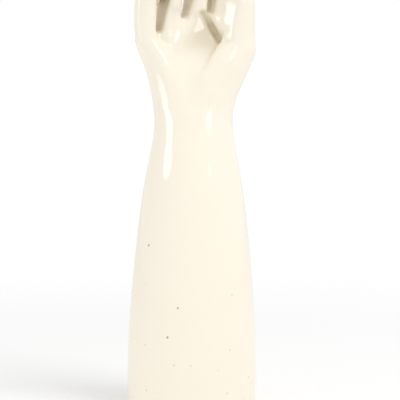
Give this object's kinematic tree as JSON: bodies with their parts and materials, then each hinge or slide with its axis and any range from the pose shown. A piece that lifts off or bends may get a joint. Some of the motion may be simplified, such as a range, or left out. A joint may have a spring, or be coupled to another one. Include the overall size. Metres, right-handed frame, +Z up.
{
  "type": "ceramic hand sculpture",
  "caption": "Glazed ceramic right hand standing upright on a hollow flared forearm, palm forward, thumb and curved fingers apart.",
  "frame": {"origin": "on the ground at the middle of the foot", "axes": "+Z up along the forearm, -Y the way the palm faces, +X towards the thumb"},
  "size_m": [0.1019, 0.092, 0.3847],
  "materials": {
    "cream_glaze": "gloss"
  },
  "bodies": {
    "root": {"forearm": "cream_glaze", "palm": "cream_glaze", "thumb": "cream_glaze", "index_finger": "cream_glaze", "middle_finger": "cream_glaze", "ring_finger": "cream_glaze", "little_finger": "cream_glaze"}
  },
  "joints": []
}
